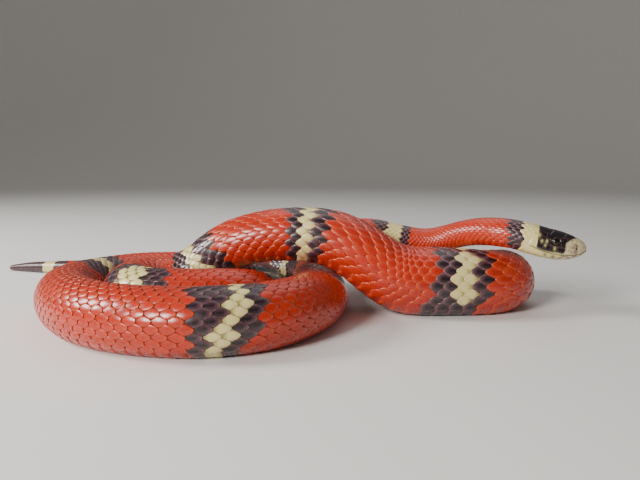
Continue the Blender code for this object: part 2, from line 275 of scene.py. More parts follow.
def evenly(curve, step):
    """The same curve with its points an even distance apart, and those distances from its start."""
    along = np.concatenate(((0.0,), np.cumsum(np.linalg.norm(np.diff(curve, axis=0), axis=1))))
    places = np.linspace(0.0, along[-1], int(round(along[-1] / step)) + 1)
    return places, np.stack([np.interp(places, along, c) for c in curve.T], 1)


def softened(values, softness, step):
    """Each column averaged with its neighbours, weighted by a bell curve; the ends stay put."""
    reach = int(3 * softness / step)
    weights = np.exp(-0.5 * (np.arange(-reach, reach + 1) * step / softness) ** 2)
    weights /= weights.sum()
    before = 2 * values[0] - values[reach:0:-1]
    after = 2 * values[-1] - values[-2 : -reach - 2 : -1]
    padded = np.concatenate((before, values, after))
    return np.stack([np.convolve(c, weights, "valid") for c in padded.T], 1)


def step_up(x):
    """0 below 0, 1 above 1, and 3x squared minus 2x cubed between."""
    x = np.clip(x, 0.0, 1.0)
    return x * x * (3 - 2 * x)


def bell(x):
    """1 at 0, falling to both sides as the exponential of minus x squared."""
    return np.exp(-x * x)


def cubic(x, xs, ys):
    """A smooth line through the rows, whose slope at each is that between its neighbours."""
    slope = np.gradient(ys, xs)
    i = np.clip(np.searchsorted(xs, x) - 1, 0, len(xs) - 2)
    h = xs[i + 1] - xs[i]
    t = np.clip((x - xs[i]) / h, 0.0, 1.0)
    start = (1 + 2 * t) * (1 - t) ** 2 * ys[i] + t * (1 - t) ** 2 * h * slope[i]
    return start + t * t * (3 - 2 * t) * ys[i + 1] + t * t * (t - 1) * h * slope[i + 1]


class Form:
    """The bare form of the animal: a point of it for any distance from the snout and any angle.

    The angle is 0 on the back, 90 degrees on the side that lies to the left of the way to the tail,
    and 180 degrees on the belly.
    """

    def __init__(self, coat):
        _, curve = evenly(through(waypoints()), ROUTE_STEP)
        curve[:, 2] = np.maximum(curve[:, 2], 0.0)
        self.along, curve = evenly(softened(curve, ROUTE_SOFTNESS, ROUTE_STEP), ROUTE_STEP)
        self.length = self.along[-1]
        share, width = np.array(BODY_PROFILE).T
        half = GIRTH * np.interp(self.along / self.length, share, width)[:, None]
        half_width = softened(half, ROUTE_SOFTNESS, ROUTE_STEP)[:, 0]
        half_height = half_width * HEIGHT_TO_WIDTH
        for x, y in PRESSED_AT:
            away = ((curve[:, 0] - x) ** 2 + (curve[:, 1] - y) ** 2) / PRESSED_REACH**2
            pressed = np.exp(-away) * (curve[:, 2] < ON_THE_FLOOR)
            half_height = half_height * (1 - PRESSED_FLATTER * pressed)
            half_width = half_width * (1 + PRESSED_WIDER * pressed)
        ahead = np.gradient(curve, axis=0)
        ahead /= np.linalg.norm(ahead, axis=1)[:, None]
        side = np.cross((0.0, 0.0, 1.0), ahead)
        side /= np.linalg.norm(side, axis=1)[:, None]
        up = np.cross(ahead, side)
        middle = curve + up * (BELLY * half_height)[:, None]
        middle[:, :2] -= PLAN_CENTRE
        self.coat = coat
        sizes = np.stack((half_width, half_height), 1)
        self.table = np.concatenate((middle, side, up, sizes), 1)

    def at(self, s):
        """Middle, side, up, half width and half height at distances from the snout."""
        s = np.asarray(s)
        flat = np.stack([np.interp(s.ravel(), self.along, c) for c in self.table.T], 1)
        rows = flat.reshape(*s.shape, flat.shape[1])
        return rows[..., :3], rows[..., 3:6], rows[..., 6:9], rows[..., 9], rows[..., 10]

    def tube(self, s, angle):
        """The body: an ellipse whose lower side is cut flat with a soft corner. The tail's tip is
        rounded off by a quarter circle."""
        middle, side, up, half_width, half_height = self.at(s)
        left = np.clip((self.length - s) / TIP_ROUND, 0.0, 1.0)
        tip = np.sqrt(1 - (1 - left) ** 2)
        above = np.logaddexp(0.0, (np.cos(angle) + BELLY) / BELLY_CORNER)
        rise = -BELLY + BELLY_CORNER * above
        across = (half_width - self.coat) * tip * np.sin(angle)
        rise = (half_height - self.coat) * tip * rise
        return middle + across[..., None] * side + rise[..., None] * up

    def head(self, s, angle):
        """The head: above the mouth line a rounded box of the profile's width and height, below it
        the jaw. Across is the width times the sine to a power, and the rise takes the cosine."""
        middle, side, up, half_width, half_height = self.at(s)
        distance, width, height, drop = np.array(HEAD_PROFILE).T * MM
        neck_height = half_height * (1 + BELLY)
        at_neck = step_up((s - distance[-1]) / (HEAD_LENGTH - distance[-1]))
        root, known = np.sqrt(np.clip(s, 0.0, None)), np.sqrt(distance)
        width, height, drop = (
            cubic(root, known, row) * (1 - at_neck) for row in (width, height, drop)
        )
        width = np.maximum(width + half_width * at_neck - self.coat * HEAD_COAT[0], 0)
        height = np.maximum(height + neck_height * at_neck - self.coat * HEAD_COAT[1], 0)
        back = np.clip((s - MOUTH_LENGTH) / (HEAD_LENGTH - MOUTH_LENGTH), 0, 1)
        power = 2 / (HEAD_SQUARENESS + (2 - HEAD_SQUARENESS) * back)
        sine, cosine = np.sin(angle), np.cos(angle)
        jaw = 1 - JAW_NARROWER * np.clip(-cosine * JAW_ONSET, 0, 1) * (1 - back)
        across = width * jaw * np.sign(sine) * np.abs(sine) ** power
        drop = np.minimum(drop, MOUTH_LOWEST * height)
        above, below = height / 2 + drop, height / 2 - drop
        rise = np.where(cosine >= 0, above * np.abs(cosine) ** power, below * cosine) - drop
        centre = middle + up * (half_height - neck_height / 2)[..., None]
        return centre + across[..., None] * side + rise[..., None] * up

    def point(self, s, angle):
        """Head and body, blended where the one passes into the other."""
        s, angle = np.broadcast_arrays(np.asarray(s, float), np.asarray(angle, float))
        blend = step_up((s - HEAD_TO_NECK[0]) / (HEAD_TO_NECK[1] - HEAD_TO_NECK[0]))[..., None]
        return self.head(s, angle) * (1 - blend) + self.tube(s, angle) * blend

    def point_and_normal(self, s, angle):
        """A point with the direction that stands off it: the cross product of the ways to two
        near neighbours, one tailward and one round the body."""
        near, turn = 0.1 * MM, 0.01
        ahead = self.point(np.minimum(s + near, self.length), angle)
        tailward = ahead - self.point(s - near, angle)
        round_it = self.point(s, angle + turn) - self.point(s, angle - turn)
        normal = np.cross(tailward, round_it)
        size = np.linalg.norm(normal, axis=-1)
        return self.point(s, angle), normal / np.maximum(size, 1e-12)[..., None]


def eye_middle(form, sign):
    """Centre of an eye, and the way it looks: straight off the head's side at the angle whose
    cosine, to the power 2 over the squareness, gives the eye's height over the middle."""
    share = (EYE_RISE + MOUTH_DROP_AT_EYE) / (HALF_HEIGHT_AT_EYE + MOUTH_DROP_AT_EYE)
    angle = math.acos(share ** (HEAD_SQUARENESS / 2))
    surface, normal = form.point_and_normal(np.array(EYE_BACK), np.array(sign * angle))
    return surface - normal * EYE_SUNK, normal


def nostril_middle(form, sign):
    """The nostril's place on the head's side."""
    return form.point(np.array(NOSTRIL_BACK), np.array(sign * NOSTRIL_TURN))


def seam_distance(s, angle):
    """Distance in metres to the nearest seam: to each straight piece of a seam, by the share along
    it where the perpendicular falls, kept between its ends."""
    distance, width = np.array(HEAD_PROFILE).T[:2] * MM
    y = np.abs(angle) * np.interp(s, distance, width)
    nearest = np.ones(s.shape)
    for seam in SEAMS:
        place, turn = np.array(seam).T
        xs = place * MM
        ys = np.radians(turn) * np.interp(xs, distance, width)
        for x0, x1, y0, y1 in zip(xs, xs[1:], ys, ys[1:]):
            run = (x1 - x0) ** 2 + (y1 - y0) ** 2
            share = np.clip(((s - x0) * (x1 - x0) + (y - y0) * (y1 - y0)) / run, 0, 1)
            away = np.hypot(s - x0 - share * (x1 - x0), y - y0 - share * (y1 - y0))
            nearest = np.minimum(nearest, away)
    return nearest


def between(x, start, end, soft):
    """1 from start to end, falling to 0 over soft at both."""
    return step_up((x - start) / soft + 0.5) * step_up((end - x) / soft + 0.5)


def spots(s, turn, places):
    """Where round spots lie on both sides of the head, from 0 to 1: a bell curve of the distance
    over each spot's radius, measured along the head and round it. turn is in degrees."""
    shade = np.zeros(s.shape)
    for place, at, radius in places:
        away = np.hypot(s / MM - place, np.radians(turn - at) * HEAD_ROUND)
        shade = np.maximum(shade, bell(away / radius))
    return shade


def markings(s, angle):
    """How cream and how black the animal is there, each from 0 to 1, and how far it is snout.

    An edge of a ring lies at its place on the back plus its shift times (1 - cosine)."""
    lower = 1 - np.cos(angle)
    cream, black = np.zeros(s.shape), np.zeros(s.shape)
    for edges, shifts, closes in RINGS:
        first, start, end, last = ((e + shift * lower) * MM for e, shift in zip(edges, shifts))
        open_side = step_up((math.radians(closes) - np.abs(angle)) / CLOSING_SOFT)
        cream = np.maximum(cream, between(s, start, end, EDGE_SOFT) * open_side)
        black = np.maximum(black, between(s, first, last, EDGE_SOFT))
    turn = np.abs(np.degrees(angle))
    on_head = step_up((CAP_END - CAP_SHIFT * lower - s) / EDGE_SOFT + 0.5)
    cheek = step_up((np.interp(s, CHEEK_AT, CHEEK_ANGLE) - turn) / CHEEK_SOFT + 0.5)
    # Painted highlights: the black of the cheek gives way to cream in soft pale glints
    cheek = cheek * (1 - PAINTED_GLINT_SHARE * spots(s, turn, PAINTED_GLINTS))
    cheek = np.maximum(cheek, LIP_SPOT_SHARE * spots(s, turn, LIP_SPOTS))
    front = np.interp(turn, SNOUT_ANGLE, SNOUT_AT)
    snout = on_head * step_up((front - s) / SNOUT_SOFT + 0.5)
    black = np.maximum(black * (1 - cream) * (1 - on_head), on_head * cheek * (1 - snout))
    cream = np.maximum(cream, on_head * (1 - snout))
    return np.maximum(cream * (1 - black), on_head), black, snout


def whole(cream, black):
    """One colour for each scale: within a ring it is cream where cream outweighs black."""
    ringed = cream + black > 0.5
    return (ringed & (cream >= black)).astype(float), (ringed & (black > cream)).astype(float)


def plate_marks(s, angle, tone, stand):
    """The marks of whole scales or plates, and how far each stands off the skin."""
    cream, black, snout = markings(s, angle)
    cream, black = whole(cream, black)
    return {"cream": cream, "black": black, "snout": snout, "tone": tone, "stand": stand}


def put(name, data):
    """An object in the scene, at the origin."""
    made = bpy.data.objects.new(name, data)
    bpy.context.scene.collection.objects.link(made)
    return made


def build_mesh(name, points, faces, marks, uv=None):
    """A smooth mesh from points, a list of face arrays, named values per point, and a function that
    gives each corner its place on the flat map."""
    mesh = bpy.data.meshes.new(name)
    mesh.vertices.add(len(points))
    mesh.vertices.foreach_set("co", np.ascontiguousarray(points, np.float32).ravel())
    corners = np.concatenate([f.ravel() for f in faces]).astype(np.int32)
    sizes = np.concatenate([np.full(len(f), f.shape[1]) for f in faces])
    mesh.loops.add(len(corners))
    mesh.loops.foreach_set("vertex_index", corners)
    mesh.polygons.add(len(sizes))
    mesh.polygons.foreach_set("loop_start", (np.cumsum(sizes) - sizes).astype(np.int32))
    mesh.update(calc_edges=True)
    if mesh.validate():
        raise ValueError(f"{name} has faces that the mesh can't hold")
    for key, values in marks.items():
        mark = mesh.attributes.new(key, "FLOAT", "POINT")
        mark.data.foreach_set("value", np.ascontiguousarray(values, np.float32))
    if uv is not None:
        flat = np.ascontiguousarray(uv(corners, sizes), np.float32)
        mesh.uv_layers.new(name="OFBake").uv.foreach_set("vector", flat.ravel())
    mesh.shade_smooth()
    return put(name, mesh)


def grid_faces(rows, columns):
    """Quads of a grid whose last column meets its first, tailward and round, facing outwards."""
    i, j = np.meshgrid(np.arange(rows - 1), np.arange(columns), indexing="ij")
    k = (j + 1) % columns
    quads = (i * columns + j, (i + 1) * columns + j, (i + 1) * columns + k, i * columns + k)
    return np.stack(quads, -1).reshape(-1, 4)


def fan(pole, first, count, turned=False):
    """Triangles from a pole to a ring of count points that begins at first; turned ones face the
    other way."""
    j = np.arange(count)
    here, after = first + j, first + (j + 1) % count
    return np.stack((np.full(count, pole), *((after, here) if turned else (here, after))), 1)


def halving_faces(fine, coarse, count):
    """Triangles from a ring of twice as many points to one of count; both begin at the angle 0.
    fine and coarse are the first points of the two."""
    k = np.arange(count)
    n = (k + 1) % count
    a, b, c = fine + 2 * k, fine + 2 * k + 1, fine + (2 * k + 2) % (2 * count)
    first, second = coarse + k, coarse + n
    return np.concatenate(
        [np.stack(t, 1) for t in ((a, first, b), (first, second, b), (b, second, c))]
    )


STRIPS = 4  # the flat map lays the skin out in this many strips, one above another
END_MARGIN, SIDE_MARGIN = 0.01, 0.05


def wrapped(angle):
    """The same direction as an angle of at most half a turn."""
    return np.where(angle > math.pi, angle - 2 * math.pi, angle)


def strip_of(s, length):
    """Which strip of the flat map a distance from the snout lies in."""
    return np.clip(np.floor(s / length * STRIPS), 0, STRIPS - 1)


def unwrap(s, angle, strip, length):
    """Places on the flat map: along the strip by the distance from the snout, and across it by the
    angle, with a margin at the ends and the sides."""
    u = END_MARGIN + (1 - 2 * END_MARGIN) * (s / length * STRIPS - strip)
    across = angle / (2 * math.pi) + 0.5
    return u, (strip + SIDE_MARGIN + (1 - 2 * SIDE_MARGIN) * across) / STRIPS


# Humps and hollows of the head: height, distance from the line or point they follow, and width
SHIELD_RISE = 0.07 * MM
SHIELD_EDGE = (-SHIELD_RISE, 0.0, 0.45 * MM)
SEAM = (-0.09 * MM, 0.0, 0.13 * MM)
MOUTH = (-0.34 * MM, 0.0, 0.16 * MM)
LIP = (0.10 * MM, 0.7 * MM, 0.4 * MM)
EYE_RIM = (0.16 * MM, 0.28 * MM, 0.26 * MM)
EYE_GROOVE = (-0.256 * MM, -0.1 * MM, 0.2 * MM)
NOSTRIL = (-0.75 * MM, 0.0, 0.42 * MM)
NOSTRIL_RIM = (0.12 * MM, 0.75 * MM, 0.25 * MM)

# The brow: height, angle from the crown and width in degrees; where it starts, ends and fades
BROW_RISE, BROW_TURN, BROW_WIDTH = 0.16 * MM, 40, 7
BROW_RUN = (4 * MM, 17 * MM, 4 * MM)

# The shields fade out behind the head, and the mouth line at its corner: place and softness
SHIELDS_END = (26.0 * MM, 3 * MM)
MOUTH_END = (MOUTH_LENGTH + 0.6 * MM, 2 * MM)
SNOUT_FADE = 0.6 * MM

# Metres for a radian beside the mouth line, by distance behind the snout
MOUTH_ROUND = ((0, 3 * MM, 12 * MM), (2 * MM, 4 * MM, 6 * MM))

# Widths of the lines that paint the seams, and of the painted shade in the mouth line and round the
# eye's edge
SEAM_LINE, MOUTH_LINE, EYE_LINE = 0.16 * MM, 0.13 * MM, 0.22 * MM
SEAM_SHARE = 0.30
EYE_DEEP = -0.5 * MM  # the skin lies this low behind the eye
EYE_REACH = 3 * MM


def hump(away, kind):
    """A hump or hollow at a distance from what it follows: its height times a bell curve."""
    height, place, width = kind
    return height * bell((away - place) / width)


def head_relief(form, s, angle, points):
    """Height over the bare head: shields swell a little between sunk seams, a rim stands round each
    eye, the mouth line and the nostrils are sunk, and a ridge runs from brow to snout. With it go
    the marks for the seams and for painted shade: near black along the mouth line, round each eye's
    edge and in the nostrils."""
    seam = seam_distance(s, angle)
    fade = step_up((SHIELDS_END[0] - s) / SHIELDS_END[1]) * step_up(s / SNOUT_FADE)
    relief = fade * (SHIELD_RISE + hump(seam, SHIELD_EDGE) + hump(seam, SEAM))
    mouth = np.abs(np.abs(angle) - math.pi / 2) * np.interp(s, *MOUTH_ROUND)
    gape = step_up((MOUTH_END[0] - s) / MOUTH_END[1])
    relief += gape * (hump(mouth, MOUTH) + hump(mouth, LIP))
    brow = bell((np.abs(np.degrees(angle)) - BROW_TURN) / BROW_WIDTH)
    relief += BROW_RISE * brow * between(s, *BROW_RUN)
    # Painted shade: the mouth line, each eye's edge and each nostril are marked to be coloured near
    # black
    dark = gape * bell(mouth / MOUTH_LINE)
    opening = math.sqrt(EYE_RADIUS**2 - EYE_SUNK**2)
    for sign in (-1, 1):
        centre, gaze = eye_middle(form, sign)
        off = points - centre
        ahead = off @ gaze
        away = np.linalg.norm(off - ahead[..., None] * gaze, axis=-1) - opening
        beside = (np.sign(angle) == sign) & (np.abs(ahead) < EYE_REACH)
        relief += beside * (hump(away, EYE_RIM) + hump(away, EYE_GROOVE))
        relief = np.where(beside & (away < -EYE_GROOVE[2]), EYE_DEEP, relief)
        # Painted shade in the groove round the eye's edge
        dark = np.maximum(dark, beside * bell(away / EYE_LINE))
        hole = np.linalg.norm(points - nostril_middle(form, sign), axis=-1)
        relief += hump(hole, NOSTRIL) + hump(hole, NOSTRIL_RIM)
        # Painted shade in the nostril
        dark = np.maximum(dark, bell(hole / NOSTRIL[2]))
    return relief, SEAM_SHARE * bell(seam / SEAM_LINE) * fade, dark


RINGS_OF_POINTS = (256, 128, 64)  # points round the head, the nape and the body
HEAD_ROWS = 200
CROWDING = 0.08
NAPE_END = HEAD_LENGTH + 2 * MM
RELIEF_END = 31 * MM
BARE_FROM, BARE_SOFT = 22 * MM, 5 * MM  # behind this the skin lies under scales


def make_skin(form, settings):
    """One closed skin over a fine grid on the head and a coarser one on the body.

    A head ring stands at HEAD_LENGTH times q squared over (q + CROWDING), scaled to end at 1, for
    evenly spaced q, so that rings close up towards the snout."""
    q = np.linspace(0, 1, HEAD_ROWS)[1:]
    head_rows = HEAD_LENGTH * (q * q / (q + CROWDING)) * (1 + CROWDING)
    nape_rows = np.linspace(HEAD_LENGTH + 0.3 * MM, NAPE_END, 4)
    count = int((form.length - NAPE_END) / settings.skin_step)
    rows = np.linspace(NAPE_END + settings.skin_step, form.length - 0.02 * MM, count)
    s, angle, faces, base = [], [], [], 0
    for places, columns in zip((head_rows, nape_rows, rows), RINGS_OF_POINTS):
        turn = wrapped(np.linspace(0, 2 * math.pi, columns, endpoint=False))
        s.append(np.repeat(places, columns))
        angle.append(np.tile(turn, len(places)))
        faces.append(base + grid_faces(len(places), columns))
        if base:
            faces.append(halving_faces(base - columns * 2, base, columns))
        base += len(places) * columns
    s, angle = np.concatenate(s), np.concatenate(angle)
    points, normals = form.point_and_normal(s, angle)
    head = s < RELIEF_END
    relief, seam, dark = np.zeros((3, len(s)))
    relief[head], seam[head], dark[head] = head_relief(form, s[head], angle[head], points[head])
    points = points + relief[:, None] * normals
    poles = form.point(np.array((0.0, form.length)), np.zeros(2))
    points = np.concatenate((points, poles))
    s, angle = np.append(s, (0.0, form.length)), np.append(angle, (0.0, 0.0))
    seam, dark = np.append(seam, (0, 0)), np.append(dark, (0, 0))
    coarse = RINGS_OF_POINTS[-1]
    faces.append(fan(base, 0, RINGS_OF_POINTS[0]))
    faces.append(fan(base + 1, base - coarse, coarse, turned=True))
    marks = dict(zip(("cream", "black", "snout"), markings(s, angle)))
    marks.update(rim=seam, dark=dark, tone=np.full(len(s), 0.5), root=np.zeros(len(s)))
    marks["bare"] = step_up((s - BARE_FROM) / BARE_SOFT)

    def lay_flat(corners, sizes):
        starts = np.cumsum(sizes) - sizes
        turn, place = angle[corners], s[corners]
        first = turn[np.repeat(starts, sizes)]
        turn = turn + 2 * math.pi * np.round((first - turn) / (2 * math.pi))
        strip = strip_of(np.repeat(np.minimum.reduceat(place, starts), sizes), form.length)
        return np.stack(unwrap(place, turn, strip, form.length), 1)

    return build_mesh("skin", points, faces, marks, lay_flat)


FULL_PITCH = 4.2 * MM
PITCH_POWER = 1.1


def scale_pitch(form, s, settings):
    """Distance between scales of one row: the pitch at full girth times the width's share of it,
    to a power a little over 1."""
    half_width = form.at(s)[3]
    return settings.pitch * (2 * half_width / GIRTH) ** PITCH_POWER


def row_places(form, start, end, settings):
    """Distances from the snout of every half pitch between start and end: the running sum of
    1 over the pitch is read backwards at even steps."""
    step = 0.25 * MM
    s = np.arange(0.0, form.length, step)
    count = np.cumsum(step / scale_pitch(form, s, settings))
    first, last = np.interp((start, end), s, count)
    halves = np.arange(math.ceil(first * 2), math.floor(last * 2) + 1) / 2
    return halves, np.interp(halves, count, s)


SCALE_DOME = 0.26 * MM  # height of a scale's middle over its margin at full girth
SCALE_LENGTH, SCALE_WIDTH = 1.46, 0.92  # in pitches, and in row spacings to either side
SCALE_MIDDLE = 0.62  # share of its length that lies before its own place
SCALE_POWERS, DOME_RUN = (0.95, 0.62), 0.34

# A scale's grid: shares of its length from root to tip, and shares of its half width
SCALE_LEVELS = np.array((0.14, 0.34, 0.52, 0.68, 0.83, 0.94))
SCALE_COLUMNS = np.array((-1.0, -0.6, 0.0, 0.6, 1.0))


def scale_faces(levels, columns):
    """Triangles and quads of one scale as a closed body, whose points are the root, the grid and
    the tip. Its underside is flat from margin to margin."""
    grid = 1 + np.arange(levels * columns).reshape(levels, columns)
    tip = 1 + levels * columns
    quads = np.stack((grid[:-1, :-1], grid[1:, :-1], grid[1:, 1:], grid[:-1, 1:]), -1)
    front = np.stack((np.zeros(columns - 1, int), grid[0, :-1], grid[0, 1:]), 1)
    back = np.stack((np.full(columns - 1, tip), grid[-1, 1:], grid[-1, :-1]), 1)
    below = np.stack((grid[:-1, 0], grid[:-1, -1], grid[1:, -1], grid[1:, 0]), -1)
    ends = np.array(((0, grid[0, -1], grid[0, 0]), (tip, grid[-1, 0], grid[-1, -1])))
    return np.concatenate((front, back, ends)), np.concatenate((quads.reshape(-1, 4), below))


PATCH = 0.0016  # half the side of a scale's patch on the flat map
STAND_POWER = 0.8  # of a scale's share of the full pitch
END_GAP = 0.05 * MM  # scales stop this far short of snout and tail tip


def plates(name, form, s, angle, pitch, spread, shape, marks):
    """Many plates as one mesh. Each lies in the skin's own directions: its points stand at s plus a
    share of the pitch and at the angle plus a share of the spread, lifted along the normal. On the
    flat map each is a small patch at its own place."""
    along, across, lift, edge, root, triangles, quads = shape
    place = np.clip(s[:, None] + along * pitch[:, None], END_GAP, form.length - END_GAP)
    turn = angle[:, None] + across * spread[:, None]
    points, normals = form.point_and_normal(place, turn)
    size = (pitch / FULL_PITCH)[:, None] ** STAND_POWER
    points = points + normals * (lift * size * marks.pop("stand")[:, None])[..., None]
    count, many = along.size, len(s)
    shift = (np.arange(many) * count)[:, None, None]
    faces = [(triangles + shift).reshape(-1, 3), (quads + shift).reshape(-1, 4)]
    values = {key: np.repeat(value, count) for key, value in marks.items()}
    values.update(rim=np.tile(edge, many), root=np.tile(root, many))
    values.update(dark=np.zeros(many * count), bare=np.zeros(many * count))
    places = unwrap(s, wrapped(angle), strip_of(s, form.length), form.length)
    flat = [
        np.repeat(middle, count) + PATCH * np.tile(share / np.abs(share).max(), many)
        for middle, share in zip(places, (along, across))
    ]
    flat = np.stack(flat, 1)
    return build_mesh(name, points.reshape(-1, 3), faces, values, lambda corners, _: flat[corners])


def lattice(levels, columns):
    """Shares of length and of half width for a scale's points: root, grid and tip."""
    b = np.concatenate(((0.0,), np.repeat(levels, len(columns)), (1.0,)))
    return b, np.concatenate(((0.0,), np.tile(columns, len(levels)), (0.0,)))


# How a scale and a belly plate overlap the next, by the share of their length: the root's lift and
# the rise to the tip; where the rim starts and its run; its power across; where the hidden root
# ends and its run
SCALE_LAP = ((-0.60, 0.95), (0.70, 0.30), 2.4, (0.56, 0.22))
PLATE_LAP = ((-0.35, 0.90), (0.80, 0.20), 8, (0.45, 0.20))


def overlap(b, a, stand, lap):
    """Lift, rim and hidden root at share b of the length and a of the half width: the lift grows
    evenly with b, the rim is a power of a or a step of b, and the root is a step of b."""
    (low, rise), (rim, rim_run), power, (hidden, hidden_run) = lap
    edge = np.maximum(np.abs(a) ** power, step_up((b - rim) / rim_run))
    return stand * (low + rise * b), edge, step_up((hidden - b) / hidden_run)


def scale_shape(stand):
    """A rounded lozenge: its half width at share b of the length is the sine of pi times a power of
    b, to a power. It is domed both ways, by the cosine across and a bell curve along."""
    b, a = lattice(SCALE_LEVELS, SCALE_COLUMNS)
    half = SCALE_WIDTH * np.sin(math.pi * b ** SCALE_POWERS[0]).clip(0) ** SCALE_POWERS[1]
    along = SCALE_LENGTH * (b - SCALE_MIDDLE)
    lift, edge, root = overlap(b, a, stand, SCALE_LAP)
    dome = np.cos(a * math.pi / 2) * bell((b - SCALE_MIDDLE) / DOME_RUN)
    faces = scale_faces(len(SCALE_LEVELS), len(SCALE_COLUMNS))
    return along, half * a, lift + SCALE_DOME * dome, edge, root, *faces


# Where the scales begin on the nape, and how much further back on the sides, from one angle to
# the next
NAPE, NAPE_SHIFT = 21.8 * MM, 4.0 * MM
NAPE_TURN = (math.radians(45), math.radians(50))

# Unevenness: of a scale's place along and across, in pitches and spacings, of a ring's edge, and
# the least and the most that a scale stands off the skin
UNEVEN_ALONG, UNEVEN_ACROSS, UNEVEN_EDGE, UNEVEN_STAND = 0.018, 0.02, 0.10, (0.9, 1.12)
LOWEST_WIDER = 0.22  # the row beside the belly plates is this much wider


def make_scales(form, settings):
    """Rows of overlapping scales down the back and sides, every other row half a pitch further on,
    in pieces of the body; towards the tail's tip the rows grow fewer."""
    rng = np.random.default_rng(7)
    tail = form.length - TAIL_LENGTH
    zones = (  # name, start, end and how many rows fewer
        ("scales_neck", 0.021, 0.130, 0),
        ("scales_fore", 0.130, 0.330, 0),
        ("scales_arch", 0.330, 0.530, 0),
        ("scales_coil", 0.530, 0.700, 0),
        ("scales_rear", 0.700, tail, 0),
        ("scales_tail_root", tail, tail + 0.045, 4),
        ("scales_tail", tail + 0.045, tail + 0.090, 8),
        ("scales_tail_tip", tail + 0.090, form.length - 0.0015, 12),
    )
    edge = math.radians(settings.dorsal_edge)
    made = []
    for name, start, end, fewer in zones:
        rows = settings.rows - fewer
        halves, places = row_places(form, start, end, settings)
        spacing = 2 * edge / rows
        grid_s, grid_row = np.meshgrid(places, np.arange(rows), indexing="ij")
        odd = (np.round(halves * 2).astype(int)[:, None] + np.arange(rows)) % 2 == 0
        s, angle = grid_s[odd], (grid_row[odd] - (rows - 1) / 2) * spacing
        nape = NAPE + NAPE_SHIFT * step_up((np.abs(angle) - NAPE_TURN[0]) / NAPE_TURN[1])
        s, angle = s[s > nape], angle[s > nape]
        pitch = scale_pitch(form, s, settings)
        s = s + rng.normal(0, UNEVEN_ALONG, len(s)) * pitch
        angle = angle + rng.normal(0, UNEVEN_ACROSS, len(s)) * spacing
        low = 1 + LOWEST_WIDER * step_up((np.abs(angle) - edge * 0.8) / (edge * 0.2))
        at_edge = s + rng.normal(0, UNEVEN_EDGE, len(s)) * pitch
        tone = rng.uniform(0, 1, len(s))
        marks = plate_marks(at_edge, angle, tone, rng.uniform(*UNEVEN_STAND, len(s)))
        shape = scale_shape(settings.scale_lift)
        made.append(plates(name, form, s, angle, pitch, spacing * low, shape, marks))
    return made


BELLY_OVERLAP = math.radians(9)  # a belly plate runs this far under the lowest scales
BELLY_MARK_TURN = math.radians(150)  # a plate takes its colour from here
BELLY_FROM, BELLY_STOP = 0.019, 0.003  # from the snout, and short of the tail's tip
PLATE_LENGTH, PLATE_BEND = 1.42, 0.35  # in pitches; a plate's sides lie nearer the snout
PLATE_TONES = (0.3, 0.8)


def make_belly_plates(form, settings):
    """A broad plate for each pitch right across the belly, its rear edge over the next; under the
    tail they are paired. A plate is bent by the cube of the share of its half width."""
    rng = np.random.default_rng(11)
    levels, columns = 4, 13
    b, a = lattice(np.linspace(0.08, 0.94, levels), np.linspace(-1, 1, columns))
    along = PLATE_LENGTH * (b - 0.5) - PLATE_BEND * np.abs(a) ** 3
    lap = overlap(b, a, settings.scale_lift, PLATE_LAP)
    shape = (along, a, *lap, *scale_faces(levels, columns))
    span = math.pi - math.radians(settings.dorsal_edge) + BELLY_OVERLAP
    halves, places = row_places(form, BELLY_FROM, form.length - BELLY_STOP, settings)
    places = places[np.round(halves * 2).astype(int) % 2 == 0]
    body, under_tail = np.split(places, [np.searchsorted(places, form.length - TAIL_LENGTH)])
    rows = (
        (body, math.pi, span),
        (under_tail, math.pi - span / 2, span / 2),
        (under_tail, math.pi + span / 2, span / 2),
    )
    s = np.concatenate([places for places, _, _ in rows])
    counts = [len(places) for places, _, _ in rows]
    angle, spread = (np.repeat([row[i] for row in rows], counts) for i in (1, 2))
    tone, stand = rng.uniform(*PLATE_TONES, len(s)), np.ones(len(s))
    marks = plate_marks(s, np.full(len(s), BELLY_MARK_TURN), tone, stand)
    pitch = scale_pitch(form, s, settings)
    return plates("belly_plates", form, s, angle, pitch, spread, shape, marks)


def make_eye(form, sign, name):
    """A ball with its pole on the way it looks; the clear shield over it bulges a little there, by
    a bell curve of the angle from that pole. The value polar is that angle as a share of a half
    turn."""
    centre, gaze = eye_middle(form, sign)
    across = np.cross(gaze, (0.0, 0.0, 1.0))
    across /= np.linalg.norm(across)
    above = np.cross(across, gaze)
    rows, columns = 32, 48
    polar = np.linspace(0, math.pi, rows + 1)[1:-1]
    turn = np.linspace(0, 2 * math.pi, columns, endpoint=False)
    polar, turn = np.meshgrid(polar, turn, indexing="ij")
    ways = (
        np.cos(polar) * (1 + EYE_BULGE * bell(polar / BULGE_REACH)),
        np.sin(polar) * np.cos(turn),
        np.sin(polar) * np.sin(turn),
    )
    ball = sum(way[..., None] * axis for way, axis in zip(ways, (gaze, above, across)))
    poles = np.stack((gaze * (1 + EYE_BULGE), -gaze))
    points = centre + EYE_RADIUS * np.concatenate((ball.reshape(-1, 3), poles))
    count = polar.size
    faces = [
        grid_faces(rows - 1, columns),
        fan(count, 0, columns),
        fan(count + 1, count - columns, columns, turned=True),
    ]
    value = np.append(polar.ravel() / math.pi, (0.0, 1.0))
    return build_mesh(name, points, faces, {"polar": value})


def add(tree, kind, **values):
    """A node of the kind, its settings or named inputs set from values."""
    node = tree.nodes.new(kind)
    for key, value in values.items():
        if hasattr(node, key):
            setattr(node, key, value)
        else:
            node.inputs[key].default_value = value
    return node


def feed(tree, socket, value):
    """Links a socket to another one, or gives it a plain value."""
    if isinstance(value, bpy.types.NodeSocket):
        tree.links.new(value, socket)
    else:
        socket.default_value = value


def mix_colour(tree, share, first, second):
    """A colour mix; share, first and second are sockets or plain values."""
    node = add(tree, "ShaderNodeMix", data_type="RGBA")
    for place, value in ((0, share), (6, first), (7, second)):
        feed(tree, node.inputs[place], value)
    return node.outputs[2]


